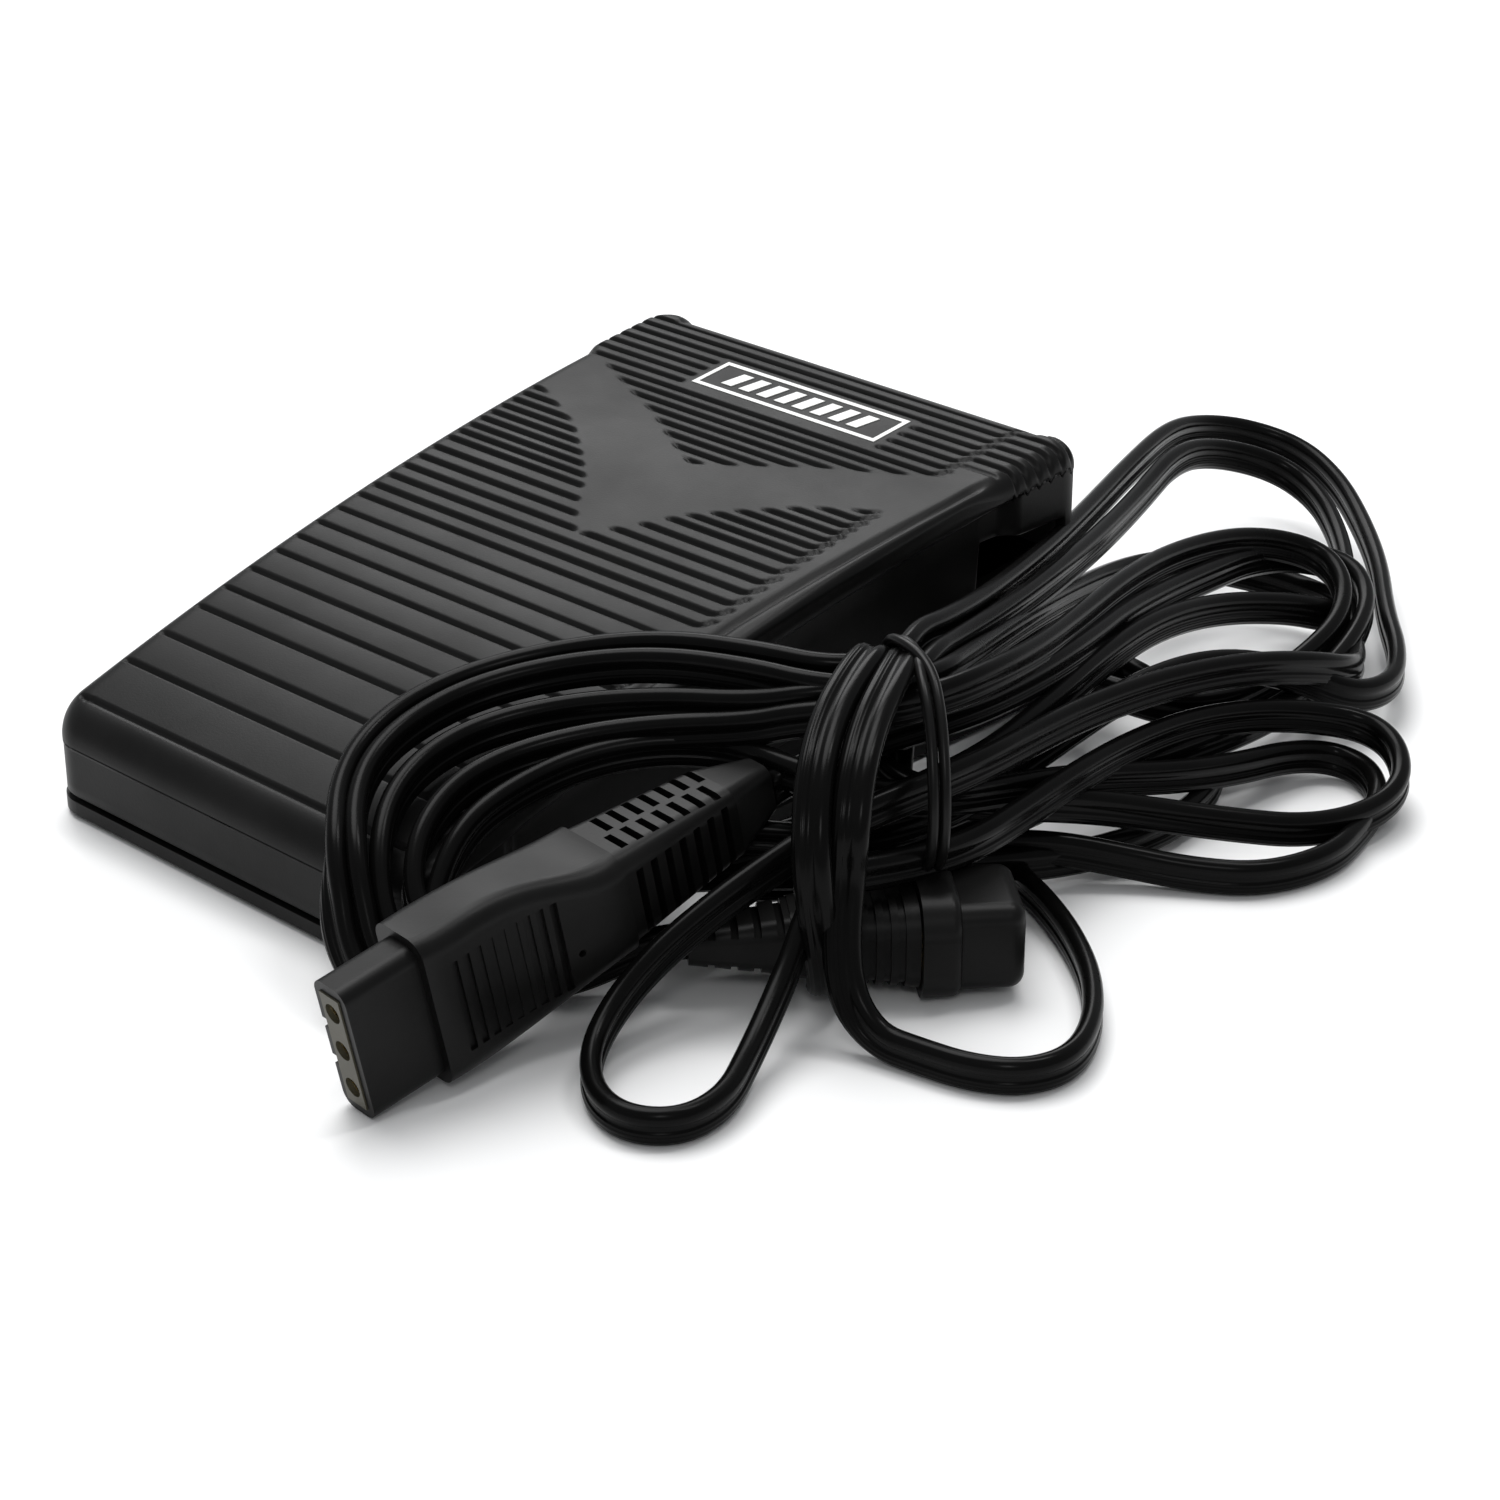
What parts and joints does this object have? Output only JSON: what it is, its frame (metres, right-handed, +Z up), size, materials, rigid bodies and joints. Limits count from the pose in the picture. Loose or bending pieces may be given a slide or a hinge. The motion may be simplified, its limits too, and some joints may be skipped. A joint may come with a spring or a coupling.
{
  "type": "sewing machine pedal",
  "caption": "Foot control for a sewing machine: a ribbed black treadle on a flat base, with a tied hank of leads, a plug for the machine and a wall plug.",
  "frame": {"origin": "on the floor under the centre of the pedal's base", "axes": "+X to the pedal's right side where the leads leave, +Y from its heel to its toe, +Z up"},
  "size_m": [0.2027, 0.2965, 0.0495],
  "materials": {
    "shell": "satin, fine moulded texture",
    "label_white": "printed",
    "zinc_screw": "zinc plated",
    "pin_steel": "ground",
    "spring_steel": "drawn wire",
    "board": "coated laminate",
    "part_case": "moulded",
    "plunger_white": "moulded",
    "sink": "mill finish",
    "choke_core": "painted",
    "copper": "enamelled wire",
    "capacitor": "dipped",
    "suppressor": "moulded",
    "resistor": "cement",
    "trimmer": "moulded",
    "terminal": "moulded",
    "foot_rubber": "matte",
    "lead_plastic": "soft sheath",
    "core_plastic": "insulation",
    "plug_plastic": "soft moulding",
    "plug_insert": "hard moulding",
    "brass": "drawn",
    "cover_plastic": "soft moulding",
    "tie_plastic": "moulded"
  },
  "bodies": {
    "base": {"base_plate": "shell", "base_housing": "shell", "base_screws": "zinc_screw", "hinge_pin": "pin_steel", "control_board": "board", "board_screws": "zinc_screw", "speed_meter_body": "part_case", "plunger_spring": "spring_steel", "heat_sink": "sink", "triac": "part_case", "choke_core": "choke_core", "choke_winding": "copper", "film_capacitor": "capacitor", "suppressor_capacitor": "suppressor", "power_resistor": "resistor", "trimmer": "trimmer", "terminal_block": "terminal", "terminal_screws": "zinc_screw", "left_return_spring": "spring_steel", "right_return_spring": "spring_steel", "left_stop_bumper": "foot_rubber", "right_stop_bumper": "foot_rubber", "machine_lead_gland": "lead_plastic", "mains_lead_gland": "lead_plastic", "machine_lead_cores": "core_plastic", "mains_lead_cores": "core_plastic", "machine_plug_body": "plug_plastic", "machine_plug_insert": "plug_insert", "machine_plug_contacts": "brass", "machine_plug_relief": "plug_plastic", "wall_plug_body": "plug_plastic", "wall_plug_relief": "plug_plastic", "wall_plug_left_blade": "brass", "wall_plug_right_blade": "brass", "blade_cover": "cover_plastic", "machine_lead_start": "lead_plastic", "mains_lead_start": "lead_plastic", "machine_plug_lead": "lead_plastic", "wall_plug_lead": "lead_plastic", "lower_left_loop": "lead_plastic", "lower_right_loop": "lead_plastic", "cord_hank": "lead_plastic", "hank_tie": "tie_plastic", "rubber_foot_1": "foot_rubber", "rubber_foot_2": "foot_rubber", "rubber_foot_3": "foot_rubber", "rubber_foot_4": "foot_rubber"},
    "treadle": {"treadle": "shell", "label_plate": "label_white", "label_marks": "label_white"},
    "plunger": {"speed_plunger": "plunger_white"}
  },
  "joints": [
    {"name": "treadle_hinge", "type": "hinge", "parent": "base", "child": "treadle", "pos_m": [0, -0.068, 0.0095], "axis": [-1, 0, 0], "range_deg": [0, 7], "stiffness_Nm_per_rad": 6, "springref_deg": -8.59, "deforming": ["left_return_spring", "right_return_spring"]},
    {"name": "plunger_slide", "type": "slide", "parent": "base", "child": "plunger", "axis": [0, 0, -1], "range_m": [0, 0.0056], "deforming": ["plunger_spring"]}
  ],
  "couplings": [
    {"joint": "plunger_slide", "follows": "treadle_hinge", "m_per_rad": 0.045}
  ]
}
